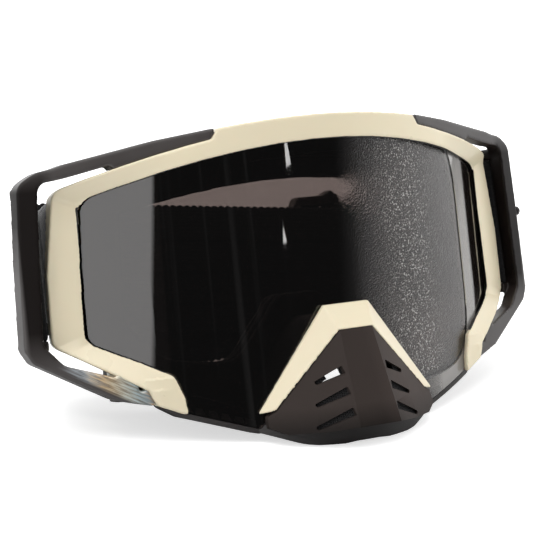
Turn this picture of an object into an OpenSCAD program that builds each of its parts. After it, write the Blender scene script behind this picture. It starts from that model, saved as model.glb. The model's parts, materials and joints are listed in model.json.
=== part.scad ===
// Off-road motorcycle goggles, standing on the flat sole of the frame.
// The pieces are drawn upright: x from side to side, y from the front of the bezel
// towards the face, z up. The whole is then leaned back
// so that the sole lies flat, with the origin at the middle of the footprint.
// All sizes are in millimetres.

/* [Stance] */
// Backward lean of the goggles when they stand on a flat surface, in degrees
lean_angle = 13; // [10:0.5:16]
// Height of the sole plane below the middle of the bezel's front
sole_height = 4.8; // [3.5:0.1:5.5]

/* [Lens opening] */
// Radius to which the front of the bezel is wrapped
wrap_radius = 110; // [105:1:120]
// How far the middle of the bezel stands in front of the datum plane
wrap_front = 6.5; // [5:0.5:9]
// Half the width of the opening in the bezel
opening_side = 76.6; // [74:0.2:78]
// Height of the opening's upper edge in the middle
opening_top = 99.4; // [97:0.2:102]
// Fall of the brow line per square millimetre away from the middle
brow_curve = 0.00215; // [0.0018:0.00005:0.0025]
// Height at which the sides of the opening turn inwards
opening_low = 42.2; // [40:0.2:45]

/* [Bezel] */
// Width of the bezel beside the lens
bezel_side = 7.5; // [7:0.25:9]
// Width of the bezel along the brow, below the outriggers
bezel_brow = 5.6; // [5.2:0.1:6.6]
// Extra height of the bezel between the two outriggers
bezel_crown = 2.1; // [1.5:0.1:3.5]
// Half the width of that raised crown
crown_side = 36; // [30:0.5:40]
// Distance from the middle to the inner end of each toe
toe_x = 53.5; // [51:0.5:56]
// Height of the tip of each toe
toe_z = 17; // [15:0.5:19]
// Thickness of the bezel's face over the lens
bezel_plate = 2.3; // [1.8:0.1:3]
// Overall depth of the bezel's skirt
bezel_depth = 4.25; // [4:0.25:6]

/* [Lens] */
// Thickness of the lens
lens_thickness = 1.2; // [0.8:0.1:1.6]
// Width of lens hidden under the bezel
lens_overlap = 2.2; // [1.8:0.1:2.6]
// Half the width of the nose cut-out at its top
notch_top_x = 7; // [5:0.5:9]
// Height of the top of the nose cut-out
notch_top_z = 42.5; // [40:0.5:45]
// Half the width of the nose cut-out at the lens's lower edge
notch_low_x = 31.5; // [30:0.5:33]
// Height of the lens's lower edge beside the nose
notch_low_z = 9.6; // [8.5:0.2:11]
// Thickness of the soft gasket behind the lens
gasket_thickness = 0.8; // [0.5:0.1:1.2]

/* [Main frame] */
// Thickness of the rubber rim around the edge of the lens
rim_wall = 1.5; // [1.2:0.1:1.8]
// Depth of the seat behind the gasket
seat_depth = 3; // [2:0.25:5]
// Wall of the tunnel between lens and face
tunnel_wall = 2; // [1.5:0.1:3]
// How far the sides of the tunnel stand inside the sides of the opening
tunnel_inset = 8.6; // [7:0.2:10]
// How far the roof of the tunnel lies below the opening's upper edge
tunnel_drop = 1.9; // [1:0.1:3]
// Distance of the face flange behind the datum plane, in the middle
face_depth = 21.5; // [18:0.5:25]
// Radius to which the face flange is wrapped
face_radius = 120; // [110:1:130]
// Thickness of the face flange
flange_thickness = 2.5; // [2:0.25:4]
// How far the face flange's sides stand inside the sides of the opening
face_inset = 0.1; // [0:0.1:2]
// Height of the face flange's top above the opening's upper edge
face_rise = 2.6; // [1:0.2:3.6]
// Length of each breathing slot in the tunnel
vent_length = 13; // [8:0.5:15]

/* [Face foam] */
// Thickness of the firm foam next to the frame
foam_base_t = 4.5; // [3:0.5:6]
// Thickness of the soft foam
foam_middle_t = 5; // [3:0.5:7]
// Thickness of the fleece against the face
fleece_t = 2.5; // [1.5:0.5:4]
// Width of the foam band
foam_width = 13; // [11:0.5:14]

/* [Outriggers] */
// How far each outrigger reaches out beyond the side of the bezel
outrigger_reach = 12.1; // [10:0.1:14]
// Height of the outrigger's top edge above the bezel's brow
outrigger_rise = 3.4; // [2.8:0.1:4]
// Height of the bend in the outrigger's outer side above the lower bend of the lens
bar_bend = 27; // [24:0.5:30]
// Width of the upright bar
bar_width = 5.6; // [5:0.1:6.5]
// Depth of the arms and the bar
arm_depth = 7; // [6:0.25:8]
// Slope of the outriggers away from the bezel, depth per width
wing_slope = 0.507; // [0.47:0.005:0.55]

/* [Nose guard] */
// Wall of the nose guard
guard_wall = 2; // [1.6:0.1:2.6]
// Half the width of the middle facet at its fold
ridge_x = 7; // [6:0.25:8.5]
// Distance of the fold in front of the datum plane
ridge_front = 18.4; // [16:0.2:20]
// Height of the fold
ridge_z = 15.7; // [14:0.2:18]
// Number of breathing slots on each side
guard_vents = 3; // [1:1:3]
// Width of the coloured trim along the guard's upper edges
trim_width = 3.6; // [3:0.1:4.2]
// Radius of the guard's fixing pegs
peg_radius = 1.1; // [0.9:0.05:1.3]

/* [Strap] */
// How much narrower the strap is than the opening in the bezel is high
strap_inset = 12.2; // [12:0.2:16]
// Thickness of the elastic strap
strap_t = 1.6; // [1.2:0.1:2]
// Radius of the steel pin that holds the strap in each outrigger
pin_radius = 1.5; // [1.2:0.1:1.8]
// Distance between the layers of the folded strap
strap_pitch = 2.5; // [2.4:0.1:3]
// Length of the adjuster along the strap
adjuster_length = 19.5; // [18:0.5:24]
// Distance from the middle to the adjuster's middle
adjuster_x = 38.2; // [20:0.5:40]
// Distance from the middle to the strap's inner fold
inner_fold = 50; // [45:1:60]
// Fall of the strap across the first run
strap_fall = 14; // [10:0.5:16]
// Fall of the strap at its inner fold
inner_fall = 18; // [14:0.5:19]
// Thickness of the adjuster's bars
adjuster_bar = 1.6; // [1.4:0.1:2]

/* [Fits] */
// Gap between parts that are assembled side by side
part_gap = 0.2; // [0.15:0.05:0.3]
// Gap around soft parts and parts that slide
slide_gap = 0.3; // [0.25:0.05:0.4]
// Radial clearance of pins and pegs in their holes
pin_gap = 0.05; // [0.03:0.01:0.08]

/* [Hidden] */
$fn = 64;

tall = 130;
far = 200;
deep = 60;

// Depths of the wrapped layers, as radii about one upright axis
wrap_y = wrap_radius - wrap_front;
plate_r = wrap_radius - bezel_plate;
bezel_in_r = wrap_radius - bezel_depth;
lens_r = plate_r - part_gap;
lens_in_r = lens_r - lens_thickness;
gasket_in_r = lens_in_r - gasket_thickness;
seat_r = gasket_in_r;
seat_in_r = seat_r - seat_depth;
root_out_r = seat_in_r - part_gap;
root_depth = 4.5;
root_in_r = root_out_r - root_depth;
ear_out_r = root_in_r - part_gap;
ear_in_r = ear_out_r - 2;

// Slopes of the nose guard's side facets, depth per width and per height
side_x_slope = 0.71;
side_z_slope = 0.358;
side_steep = norm([side_x_slope, 1, side_z_slope]);
function side_y(x, z) = -ridge_front + side_x_slope * (x - ridge_x) + side_z_slope * (z - ridge_z);

// The face flange and the foam layers, as distances in the middle
face_y = face_depth + face_radius;
flange_back = flange_thickness;
base_back = flange_back + foam_base_t;
middle_back = base_back + foam_middle_t;
fleece_back = middle_back + fleece_t;

// Sizes of the tunnel and the face flange, as they follow from the lens opening
tunnel_side = opening_side - tunnel_inset;
tunnel_top = opening_top - tunnel_drop;
face_side = opening_side - face_inset;
face_top = opening_top + face_rise;

// ---------- outline functions ----------
function unit(v) = v / norm(v);
function flat(p) = [p[0], p[1]];
function turn(a, b) = a[0] * b[1] - a[1] * b[0];
function spin(v, angle) = [v[0] * cos(angle) - v[1] * sin(angle), v[0] * sin(angle) + v[1] * cos(angle)];

// One corner of an outline, rounded to radius r
function corner(before, here, after, r) =
    let (u = unit(here - before), v = unit(after - here),
         side = turn(u, v) > 0 ? 1 : -1, angle = acos(min(1, u * v)))
    r <= 0 || angle < 1 ? [here] :
    let (back = r * tan(angle / 2), steps = max(2, ceil(angle / 12)), left = [-u[1], u[0]],
         centre = here - u * back + left * side * r)
    [for (k = [0:steps]) centre - spin(left, side * angle * k / steps) * side * r];

// A closed outline from corners given as [x, z, radius]
function rounded(c) =
    let (n = len(c))
    [for (i = [0:n - 1]) each corner(flat(c[(i + n - 1) % n]), flat(c[i]), flat(c[(i + 1) % n]), c[i][2])];

// The same corners moved outwards by d, with their radii kept concentric
function grown(c, d) =
    let (n = len(c))
    [for (i = [0:n - 1])
        let (here = flat(c[i]), u = unit(here - flat(c[(i + n - 1) % n])),
             v = unit(flat(c[(i + 1) % n]) - here),
             a = [u[1], -u[0]], b = [v[1], -v[0]], move = (a + b) / (1 + a * b) * d,
             bend = turn(u, v) > 0 ? d : -d)
        [here[0] + move[0], here[1] + move[1], c[i][2] == 0 ? 0 : max(0.5, c[i][2] + bend)]];

// A right half, listed upwards, completed by its mirror image
function both(half) = concat(half, [for (i = [len(half) - 1:-1:0]) [-half[i][0], half[i][1], half[i][2]]]);

// Points of a brow line of height top, from x = x0 inwards to x = x1
function brow_z(top, x) = top - brow_curve * x * x;
function brow(top, x0, x1, steps) =
    [for (i = [0:steps]) let (x = x0 + (x1 - x0) * i / steps) [x, brow_z(top, x), 0]];

// ---------- outlines, as corners [x, z, radius] ----------
opening_foot = [toe_x + 2, toe_z + 12];
opening_half = concat(
    [[toe_x - 1.6, toe_z - 12, 0], [toe_x - 0.4, toe_z + 4.8, 0], [opening_foot[0], opening_foot[1], 2],
     [opening_side + 0.8, opening_low, 5.5], [opening_side + 0.2, opening_low + 22, 0],
     [opening_side - 1.2, brow_z(opening_top, opening_side - 1.2), 6]],
    brow(opening_top, opening_side - 12, 5, 5));

bezel_brow_top = opening_top + bezel_brow;
crown_top = bezel_brow_top + bezel_crown;
bezel_edge = opening_side + bezel_side;
outrigger_side = bezel_edge + outrigger_reach;
function crown_z(x) = crown_top - 0.7 * brow_curve * x * x;
bezel_half = concat(
    [[toe_x, toe_z, 0.6], [toe_x + 6.8, toe_z + 3.4, 0.6], [toe_x + 8.1, toe_z + 6, 0.5],
     [toe_x + 8.8, toe_z + 8.4, 0.5], [bezel_edge + 0.6, opening_low - 0.4, 4],
     [bezel_edge, opening_low + 22, 0],
     [bezel_edge - 2.8, brow_z(bezel_brow_top, bezel_edge - 2.8), 4.5]],
    brow(bezel_brow_top, bezel_edge - 12, crown_side + 9, 3),
    [[crown_side + 2, brow_z(bezel_brow_top, crown_side + 2), 0.5], [crown_side, crown_z(crown_side), 0.8]],
    [for (x = [crown_side - 8:-8:1]) [x, crown_z(x), 0]]);
bezel_filled = both(bezel_half);

lens_foot = [toe_x + 4.6, toe_z + 11.2];
lens_side = opening_side + lens_overlap;
lens_corners = both(concat(
    [[notch_top_x, notch_top_z, 3], [notch_low_x, notch_low_z, 1], [toe_x - 0.3, toe_z + 0.4, 1],
     [toe_x + 4.2, toe_z + 3.6, 1.5], [lens_foot[0], lens_foot[1], 1],
     [lens_side, opening_low - 1.6, 7], [lens_side - 0.7, opening_low + 20, 0],
     [lens_side - 1.4, brow_z(opening_top + lens_overlap, lens_side - 1.4), 7]],
    brow(opening_top + lens_overlap, opening_side - 12, 5, 5)));
rim_grow = part_gap + rim_wall;

tunnel_corners = both(concat(
    [[notch_top_x - 2, notch_top_z - 2, 4], [notch_low_x - 4, notch_low_z, 3], [toe_x + 0.5, toe_z + 3.5, 12],
     [tunnel_side, opening_low - 7, 15], [tunnel_side - 2.4, brow_z(tunnel_top, tunnel_side - 2.4), 7]],
    brow(tunnel_top, tunnel_side - 13, 7, 3)));

face_corners = both(concat(
    [[notch_top_x - 1, notch_top_z - 3, 4], [notch_low_x - 5, notch_low_z - 5, 3],
     [notch_low_x + 3, notch_low_z - 1, 4],
     [face_side - 14, opening_low - 4, 12], [face_side, opening_low + 3, 5],
     [face_side, brow_z(face_top, face_side), 9]],
    brow(face_top, face_side - 14, 8, 3)));
// Opening through the foam, left by a band of foam_width that narrows over the nose
eye_side = face_side - foam_width;
eye_top = face_top - foam_width - 0.5;
eye_corners = both(concat(
    [[notch_top_x + 1, notch_top_z + 8, 5], [notch_low_x - 7, notch_low_z + 20, 8],
     [eye_side - 16, opening_low - 9, 12], [eye_side, opening_low + 14, 14],
     [eye_side, brow_z(eye_top, eye_side), 8]],
    brow(eye_top, eye_side - 13, 7, 3)));

function wing_y(x) = wing_slope * (x - crown_side) - 0.5;
outrigger_top = bezel_brow_top + outrigger_rise;
bar_lean = 1.1;
outrigger_corners = [[toe_x + 8.3, toe_z + 3.6, 0.5], [toe_x + 19, toe_z + 6.8, 4],
    [outrigger_side - 2.2, opening_low - 4.8, 2], [outrigger_side, opening_low - 0.5, 2],
    [outrigger_side - bar_lean, opening_low + bar_bend, 0],
    [outrigger_side - 2.6, brow_z(outrigger_top, outrigger_side - 12.2), 3.5],
    [outrigger_side - 16, brow_z(outrigger_top, outrigger_side - 29.2), 6],
    [crown_side + 18, brow_z(outrigger_top, crown_side + 12.5), 0],
    [crown_side + 0.6, brow_z(outrigger_top, crown_side) - 0.3, 0.6],
    [crown_side + 2.6, brow_z(bezel_brow_top, crown_side + 2.6) - 2, 0]];
slot_side = outrigger_side - bar_width;
slot_end = bezel_edge - 18;
slot_corners = [[toe_x + 18, toe_z + 13.6, 0], [slot_side - 5.2, opening_low - 6.4, 4],
    [slot_side + 0.2, opening_low + 0.6, 3],
    [slot_side - 1.3, opening_low + bar_bend + 1, 0],
    [slot_side - 2.7, brow_z(outrigger_top, slot_side - 2.7) + 1.1, 4],
    [bezel_edge, brow_z(outrigger_top, bezel_edge) + 0.6, 0],
    [slot_end, brow_z(bezel_brow_top, slot_end) + 1.8, 1.5], [slot_end, opening_low + 22, 0]];

// ---------- solids that the pieces are cut from ----------
module upright(y0, y1) translate([0, y1, 0]) rotate([90, 0, 0]) linear_extrude(y1 - y0) children();
module prism(corners) upright(-30, tall) polygon(rounded(corners));
module drum(r) translate([0, wrap_y, -20]) cylinder(r = r, h = tall + 20, $fn = 200);
module wrapped(r0, r1) intersection() {
    difference() { drum(r1); drum(r0); }
    translate([-far, -50, -20]) cube([2 * far, wrap_y + 40, tall + 20]);
}
module face_drum(extra) translate([0, face_y, -20])
    cylinder(r = face_radius - extra, h = tall + 20, $fn = 200);
module face_layer(back0, back1) intersection() {
    difference() { face_drum(back0); face_drum(back1); }
    translate([-far, 0, -20]) cube([2 * far, face_y, tall + 20]);
}
// Everything above the plane of the sole, raised by lift
module above_sole(lift) translate([0, 0, sole_height]) rotate([lean_angle, 0, 0])
    translate([-far, -far, lift]) cube([2 * far, 2 * far, tall + deep]);
module pair() { children(); mirror([1, 0, 0]) children(); }

// The finished pieces lean back until the sole is level
front_z = ridge_z - 8;
front_y = side_y(ridge_x + 0.4, front_z);
fleece_radius = face_radius - fleece_back;
back_y = face_y - sqrt(fleece_radius * fleece_radius - face_side * face_side);
bead_t = 0.5;
bead_width = 2;
bead_end = 8;
layer_1 = back_y + strap_t / 2 + bead_t + 1;
layer_2 = layer_1 + strap_pitch;
layer_3 = layer_2 + strap_pitch + adjuster_bar;
adjuster_back = layer_3 + strap_t / 2 + slide_gap + adjuster_bar;
strap_low = opening_low + 1.8;
strap_width = opening_top - opening_low - strap_inset;
strap_mid = strap_low + strap_width / 2;
front_row = front_y * cos(lean_angle) + front_z * sin(lean_angle);
back_row = adjuster_back * cos(lean_angle) + (strap_mid + strap_width / 2) * sin(lean_angle);
foot_row = sole_height * cos(lean_angle);
module leaned() translate([0, -(front_row + back_row) / 2, -foot_row]) rotate([-lean_angle, 0, 0]) children();

// ---------- main frame ----------
chin_radius = 46;
chin_front = 12;
chin_wall = 3;
chin_top = ridge_z - 5;
chin_low = 1.9;
chin_end = notch_low_x + 2;
peg_x = 12.8;
peg_z = 27.8;
peg_depth = 3.5;
boss_wall = 1.9;
function lens_front(x) = wrap_y - sqrt(lens_r * lens_r - x * x);
module rim_block() intersection() {
    wrapped(seat_in_r, lens_r);
    prism(grown(lens_corners, rim_grow));
}
module lens_pocket() difference() {
    prism(grown(lens_corners, part_gap));
    drum(seat_r);
}
module tunnel_block() intersection() {
    prism(tunnel_corners);
    drum(seat_in_r + 1);
    translate([-far, -1, -20]) cube([2 * far, face_y, tall + 20]);
    difference() {
        translate([-far, -40, -20]) cube([2 * far, face_y + 40, tall + 20]);
        face_drum(flange_thickness / 2);
    }
}
module face_flange() intersection() {
    face_layer(0, flange_back);
    prism(face_corners);
}
module chin() intersection() {
    translate([0, chin_radius - chin_front, -20]) difference() {
        cylinder(r = chin_radius, h = tall, $fn = 120);
        translate([0, 0, -1]) cylinder(r = chin_radius - chin_wall, h = tall + 2, $fn = 120);
    }
    upright(-30, 5) polygon(rounded(both([[4, chin_low + 0.6, 0], [12, chin_low, 8], [20, chin_low + 1.5, 10],
        [notch_low_x - 1, chin_low + 6, 3], [chin_end, chin_low + 6.8, 0], [chin_end, chin_top, 0]])));
}
// Rubber wings of the nose piece, behind the guard's lower slots
wing_t = 2.4;
wing_gap = 0.8;
module nose_wing() intersection() {
    prism([[ridge_x + 2.3, ridge_z - 7.4, 0], [ridge_x + 14, ridge_z - 6, 1],
        [ridge_x + 13, ridge_z + 0.4, 1], [ridge_x + 4, ridge_z + 5.6, 1], [ridge_x + 2.3, ridge_z + 5.6, 0]]);
    translate([ridge_x, guard_wall + wing_gap - ridge_front, ridge_z])
        rotate([-asin(side_z_slope / side_steep), 0, atan(side_x_slope)])
        translate([-tall / 2, 0, -tall / 2]) cube([tall, wing_t, tall]);
}
vent_places = [-2.5, -1.5, -0.5, 0.5, 1.5, 2.5];
vent_pitch = vent_length + 5;
module roof_vents() for (i = vent_places) {
    x = i * vent_pitch;
    y0 = wrap_y - sqrt(seat_in_r * seat_in_r - x * x) + 3;
    y1 = face_y - sqrt(face_radius * face_radius - x * x) - flange_thickness - 2;
    translate([x - vent_length / 2, y0, brow_z(tunnel_top, x) - 8]) cube([vent_length, y1 - y0, 16]);
}
module floor_vents() for (i = [0, 1]) {
    x = notch_low_x + 4 + i * (vent_length - 4);
    y0 = wrap_y - sqrt(seat_in_r * seat_in_r - x * x) + 4;
    pair() translate([x, y0, 5]) cube([vent_length - 6, 10, 22]);
}
root_x0 = crown_side + 8;
root_x1 = crown_side + 22;
low_root_x0 = toe_x + 7;
low_root_x1 = toe_x + 15;
screw_x = (root_x0 + root_x1) / 2;
low_screw_x = (low_root_x0 + low_root_x1) / 2;
screw_z = brow_z(tunnel_top, screw_x) + 3.6;
low_screw_z = toe_z + 9.6;
screw_radius = 1;
screw_head = 2.1;
screw_head_t = 1.4;
screw_length = 9;
// Depth behind the ear at which the outer edge of a screw's head meets its curved back
function screw_seat(x) = wrap_y - sqrt(ear_in_r * ear_in_r - pow(x + screw_head, 2)) + pin_gap;
// A column over the part of the plan between x0 and x1, from z0 up to z1
module column(x0, x1, z0, z1) translate([x0, -10, z0]) cube([x1 - x0, deep, z1 - z0]);
// Ears of the frame and roots of the outriggers, one above and one below the lens
module ear_slice(x0, x1, z0, z1) intersection() {
    wrapped(ear_in_r, ear_out_r);
    column(x0, x1, z0, z1);
}
module ears() {
    ear_slice(root_x0, root_x1, tunnel_top - 10, brow_z(bezel_brow_top, root_x1) - 1.2);
    ear_slice(low_root_x0, low_root_x1, toe_z + 10, opening_low - 6);
}
module screw_axis(x, z) translate([x, 0, z]) rotate([-90, 0, 0]) children();
module screw_holes(r) {
    screw_axis(screw_x, screw_z) cylinder(r = r, h = deep);
    screw_axis(low_screw_x, low_screw_z) cylinder(r = r, h = deep);
}
module main_frame() color([0.12, 0.1, 0.1]) leaned() difference() {
    intersection() {
        union() {
            rim_block();
            tunnel_block();
            face_flange();
            pair() ears();
            pair() peg_at(lens_front(peg_x)) cylinder(r = peg_radius + boss_wall, h = peg_depth + boss_wall);
            chin();
            pair() nose_wing();
        }
        above_sole(0);
    }
    prism(grown(tunnel_corners, -tunnel_wall));
    lens_pocket();
    roof_vents();
    floor_vents();
    pair() screw_holes(screw_radius + pin_gap);
    pair() peg_at(-20) cylinder(r = peg_radius + pin_gap, h = 20 + lens_front(peg_x) + peg_depth + part_gap);
}

// ---------- bezel, lens and gasket ----------
module front_bezel() color([0.87, 0.84, 0.74]) leaned() difference() {
    intersection() {
        wrapped(bezel_in_r, wrap_radius);
        prism(bezel_filled);
    }
    prism(both(opening_half));
    intersection() {
        drum(plate_r);
        prism(grown(lens_corners, rim_grow + part_gap));
    }
}
module lens() color([0.25, 0.24, 0.24, 0.8]) leaned() intersection() {
    wrapped(lens_in_r, lens_r);
    prism(lens_corners);
}
module lens_gasket() color([0.08, 0.08, 0.09]) leaned() difference() {
    intersection() {
        wrapped(gasket_in_r, lens_in_r);
        prism(lens_corners);
    }
    prism(grown(lens_corners, -2.4));
}

// ---------- outriggers ----------
wing_x0 = crown_side - 16;
wing_x1 = outrigger_side + 4;
module wing_slab(front, back) linear_extrude(tall) polygon([
    [wing_x0, wing_y(wing_x0) + front], [wing_x1, wing_y(wing_x1) + front],
    [wing_x1, wing_y(wing_x1) + back], [wing_x0, wing_y(wing_x0) + back]]);
pin_x = outrigger_side - bar_width / 2 - 4.2;
pin_y = wing_y(pin_x) + arm_depth + (slide_gap + pin_radius + pin_gap + strap_t) / cos(atan(wing_slope));
lug_radius = pin_radius + 1.8;
lug_height = 3;
lug_low = strap_low - slide_gap - lug_height;
lug_high = strap_low + strap_width + slide_gap;
module lug(z) translate([0, 0, z]) linear_extrude(lug_height) union() {
        translate([pin_x, pin_y]) circle(lug_radius);
        polygon([[pin_x - lug_radius, pin_y], [pin_x - 1.2, wing_y(pin_x) + arm_depth - 1.5],
            [outrigger_side - 2.6, wing_y(outrigger_side - 2.6) + arm_depth - 1.5],
            [outrigger_side - 2.6, wing_y(outrigger_side - 2.6) + arm_depth + 1],
            [pin_x + lug_radius, pin_y]]);
}
module outrigger() difference() {
    union() {
        difference() {
            intersection() {
                prism(outrigger_corners);
                union() {
                    wing_slab(0, arm_depth);
                    // plates that reach back over and under the bezel
                    difference() {
                        intersection() {
                            wing_slab(arm_depth - 1, 40);
                            union() {
                                column(root_x0, root_x1, tunnel_top, tall);
                                column(low_root_x0, low_root_x1, 0, toe_z + 14);
                            }
                        }
                        drum(root_in_r);
                    }
                }
            }
            prism(grown(bezel_filled, part_gap));
            prism(slot_corners);
        }
        // feet behind the bezel, screwed to the frame's ears
        difference() {
            intersection() {
                wrapped(root_in_r, root_out_r);
                union() {
                    column(root_x0, root_x1, brow_z(tunnel_top, root_x1) + 0.5,
                        brow_z(bezel_brow_top, root_x1) + 1);
                    column(low_root_x0, low_root_x1, toe_z + 5, opening_low - 7);
                }
            }
            prism(grown(tunnel_corners, part_gap));
        }
        lug(lug_low);
        lug(lug_high);
    }
    translate([pin_x, pin_y, lug_low + 1]) cylinder(r = pin_radius + pin_gap, h = tall);
    screw_holes(screw_radius + pin_gap);
}
module left_outrigger() color([0.13, 0.11, 0.11]) leaned() mirror([1, 0, 0]) outrigger();
module right_outrigger() color([0.13, 0.11, 0.11]) leaned() outrigger();

module screw(x, z) screw_axis(x, z) {
    translate([0, 0, screw_seat(x) - screw_length]) cylinder(r = screw_radius, h = screw_length);
    translate([0, 0, screw_seat(x)]) difference() {
        cylinder(r = screw_head, h = screw_head_t);
        translate([0, 0, screw_head_t / 2]) cylinder(r = screw_radius, h = screw_head_t, $fn = 6);
    }
}
module outrigger_screws() color([0.35, 0.35, 0.36]) leaned() pair() {
    screw(screw_x, screw_z);
    screw(low_screw_x, low_screw_z);
}

// ---------- nose guard and trim ----------
// Front surface of the sloping side facets, and of the two middle facets
guard_rise = notch_top_z - 4.5 - ridge_z;
guard_top = [ridge_x - 1.1, ridge_z + guard_rise];
guard_hip = [notch_low_x - 1.2, ridge_z - 2.4];
guard_low = [[notch_low_x - 1, ridge_z - 6], [notch_low_x - 5.5, ridge_z - 8.4],
    [ridge_x + 9, ridge_z - 8.6], [ridge_x + 0.4, front_z]];
guard_trim_end = [notch_low_x - 4, ridge_z - 0.9];
function on_side(p) = [p[0], side_y(p[0], p[1]), p[1]];
fold = [ridge_x, -ridge_front, ridge_z];
guard_side = [on_side(guard_top), fold, on_side(guard_low[3]), on_side(guard_low[2]), on_side(guard_low[1]),
    on_side(guard_low[0]), on_side(guard_hip), on_side(guard_trim_end)];

// A shell with flat facets. The points of one side, and those behind them, are mirrored
// across the middle, and a strip of facets joins the first `joined` points of both sides.
function mirrored3(p) = [-p[0], p[1], p[2]];
function behind(p, wall) = [p[0], p[1] + wall, p[2]];
module facet_shell(side, back, joined) {
    n = len(side);
    last = joined - 1;
    points = concat(side, [for (p = side) mirrored3(p)], back, [for (p = back) mirrored3(p)]);
    fan = [for (i = [1:n - 2]) [0, i + 1, i]];
    strip = [for (i = [0:joined - 2]) [i, i + 1, n + i + 1, n + i]];
    right_rim = [for (i = [joined - 1:n - 1]) let (j = (i + 1) % n) [i, j, 2 * n + j, 2 * n + i]];
    polyhedron(points, concat(
        [for (f = fan) [f[0], f[1], f[2]]],
        [for (f = fan) [n + f[0], n + f[2], n + f[1]]],
        [for (f = fan) [2 * n + f[0], 2 * n + f[2], 2 * n + f[1]]],
        [for (f = fan) [3 * n + f[0], 3 * n + f[1], 3 * n + f[2]]],
        [for (s = strip) each [[s[0], s[1], s[2]], [s[0], s[2], s[3]]]],
        [for (s = strip) each [[2 * n + s[0], 2 * n + s[2], 2 * n + s[1]],
            [2 * n + s[0], 2 * n + s[3], 2 * n + s[2]]]],
        [for (r = right_rim) each [[r[0], r[1], r[2]], [r[0], r[2], r[3]]]],
        [for (r = right_rim) each [[n + r[0], n + r[2], n + r[1]], [n + r[0], n + r[3], n + r[2]]]],
        [[0, n, 3 * n], [0, 3 * n, 2 * n]],
        [[last, 3 * n + last, n + last], [last, 2 * n + last, 3 * n + last]]));
}
slot_top = ridge_z + guard_rise / 2 + 0.2;
slot_pitch = 6.5;
module guard_slot(i) {
    top = slot_top - slot_pitch * i;
    inner = ridge_x + 0.5;
    outer = ridge_x + 9.4 + 1.3 * i;
    prism([[inner, top - 2.6, 0.3], [outer - 0.9, top - 5.4 - 0.4 * i, 0.6],
        [outer, top - 4.4 - 0.4 * i, 0.6], [inner + 0.4, top, 0.3]]);
}
module peg_at(y) translate([peg_x, y, peg_z]) rotate([-90, 0, 0]) children();
peg_root = side_y(peg_x, peg_z) + guard_wall / 2;
module nose_guard() color([0.27, 0.24, 0.23]) leaned() union() {
    difference() {
        facet_shell(guard_side, [for (p = guard_side) behind(p, guard_wall)], 3);
        pair() for (i = [0:guard_vents - 1]) guard_slot(i);
    }
    pair() peg_at(peg_root) cylinder(r = peg_radius, h = lens_front(peg_x) + peg_depth - peg_root);
}
trim_t = 2.2;
// The outer edge of the trim stands this far off the lens, whose curve rises between its ends
trim_gap = 0.9;
function off_lens(x, thickness) = lens_front(x) - trim_gap - thickness;
trim_outer_x = [guard_top[0] + 2.2, guard_trim_end[0] + 1.3 * trim_width];
trim_outer_z = [guard_top[1] + 2.24 * trim_width, guard_trim_end[1] - 0.4];
trim_inner_top = [guard_top[0] + part_gap, side_y(guard_top[0], guard_top[1]), guard_top[1] + part_gap];
trim_inner_low = on_side([guard_trim_end[0] + part_gap, guard_trim_end[1] + part_gap]);
module nose_trim() color([0.87, 0.84, 0.74]) leaned() facet_shell(
    [[trim_outer_x[0], off_lens(trim_outer_x[0], 1.7), trim_outer_z[0]], trim_inner_top,
        trim_inner_low, [trim_outer_x[1], off_lens(trim_outer_x[1], 0.8), trim_outer_z[1]]],
    [[trim_outer_x[0], off_lens(trim_outer_x[0], 0), trim_outer_z[0]], behind(trim_inner_top, trim_t),
        behind(trim_inner_low, trim_t), [trim_outer_x[1], off_lens(trim_outer_x[1], 0), trim_outer_z[1]]], 2);

// ---------- foams ----------
module foam(back0, back1, inset) leaned() difference() {
    intersection() {
        face_layer(back0, back1);
        prism(grown(face_corners, -inset));
        above_sole(0);
    }
    prism(grown(eye_corners, inset / 2));
}
module foam_base() color([0.12, 0.12, 0.13]) foam(flange_back, base_back, 0.4);
module foam_middle() color([0.16, 0.16, 0.17]) foam(base_back, middle_back, 0.6);
module fleece_lining() color([0.1, 0.1, 0.1]) foam(middle_back, fleece_back, 0.9);

vent_foam_t = 2;
floor_foam_y = lens_thickness + gasket_thickness + seat_depth;
module top_vent_foam() color([0.14, 0.14, 0.15]) leaned() intersection() {
    difference() {
        prism(grown(tunnel_corners, vent_foam_t));
        prism(tunnel_corners);
    }
    translate([-crown_side - 5, 0, tunnel_top - 12])
        cube([2 * crown_side + 10, face_depth - flange_thickness - 0.8, 40]);
    difference() {
        drum(seat_in_r - part_gap);
        face_drum(-flange_thickness - 0.6);
    }
}
module vent_foam() intersection() {
    difference() {
        prism(grown(tunnel_corners, -tunnel_wall));
        prism(grown(tunnel_corners, -tunnel_wall - vent_foam_t));
    }
    translate([notch_low_x + 2, floor_foam_y, 0])
        cube([2 * (vent_length - 2), face_depth, toe_z + notch_low_z]);
    difference() {
        drum(seat_in_r - part_gap);
        face_drum(-0.2);
    }
}
module left_vent_foam() color([0.14, 0.14, 0.15]) leaned() mirror([1, 0, 0]) vent_foam();
module right_vent_foam() color([0.14, 0.14, 0.15]) leaned() vent_foam();

// ---------- strap ----------
module strap_pin() translate([pin_x, pin_y, lug_low + 1])
    cylinder(r = pin_radius, h = lug_high + lug_height - lug_low - 1);
module left_strap_pin() color([0.6, 0.6, 0.62]) leaned() mirror([1, 0, 0]) strap_pin();
module right_strap_pin() color([0.6, 0.6, 0.62]) leaned() strap_pin();
// Small retaining stud on the outer face of one outrigger
stud_z = opening_low + bar_bend + 0.5;
stud_y = wing_y(outrigger_side) + 2.2;
stud_neck = 0.8;
stud_x = outrigger_side - bar_lean + 0.1;
module strap_stud() color([0.2, 0.18, 0.18]) leaned() translate([stud_x, stud_y, stud_z])
    rotate([0, 90, 0]) rotate_extrude() polygon([[0, 0], [stud_neck, 0], [stud_neck, 1.1],
        [1.5, 1.4], [1.6, 2.1], [1, 2.7], [0, 2.8]]);

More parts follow.
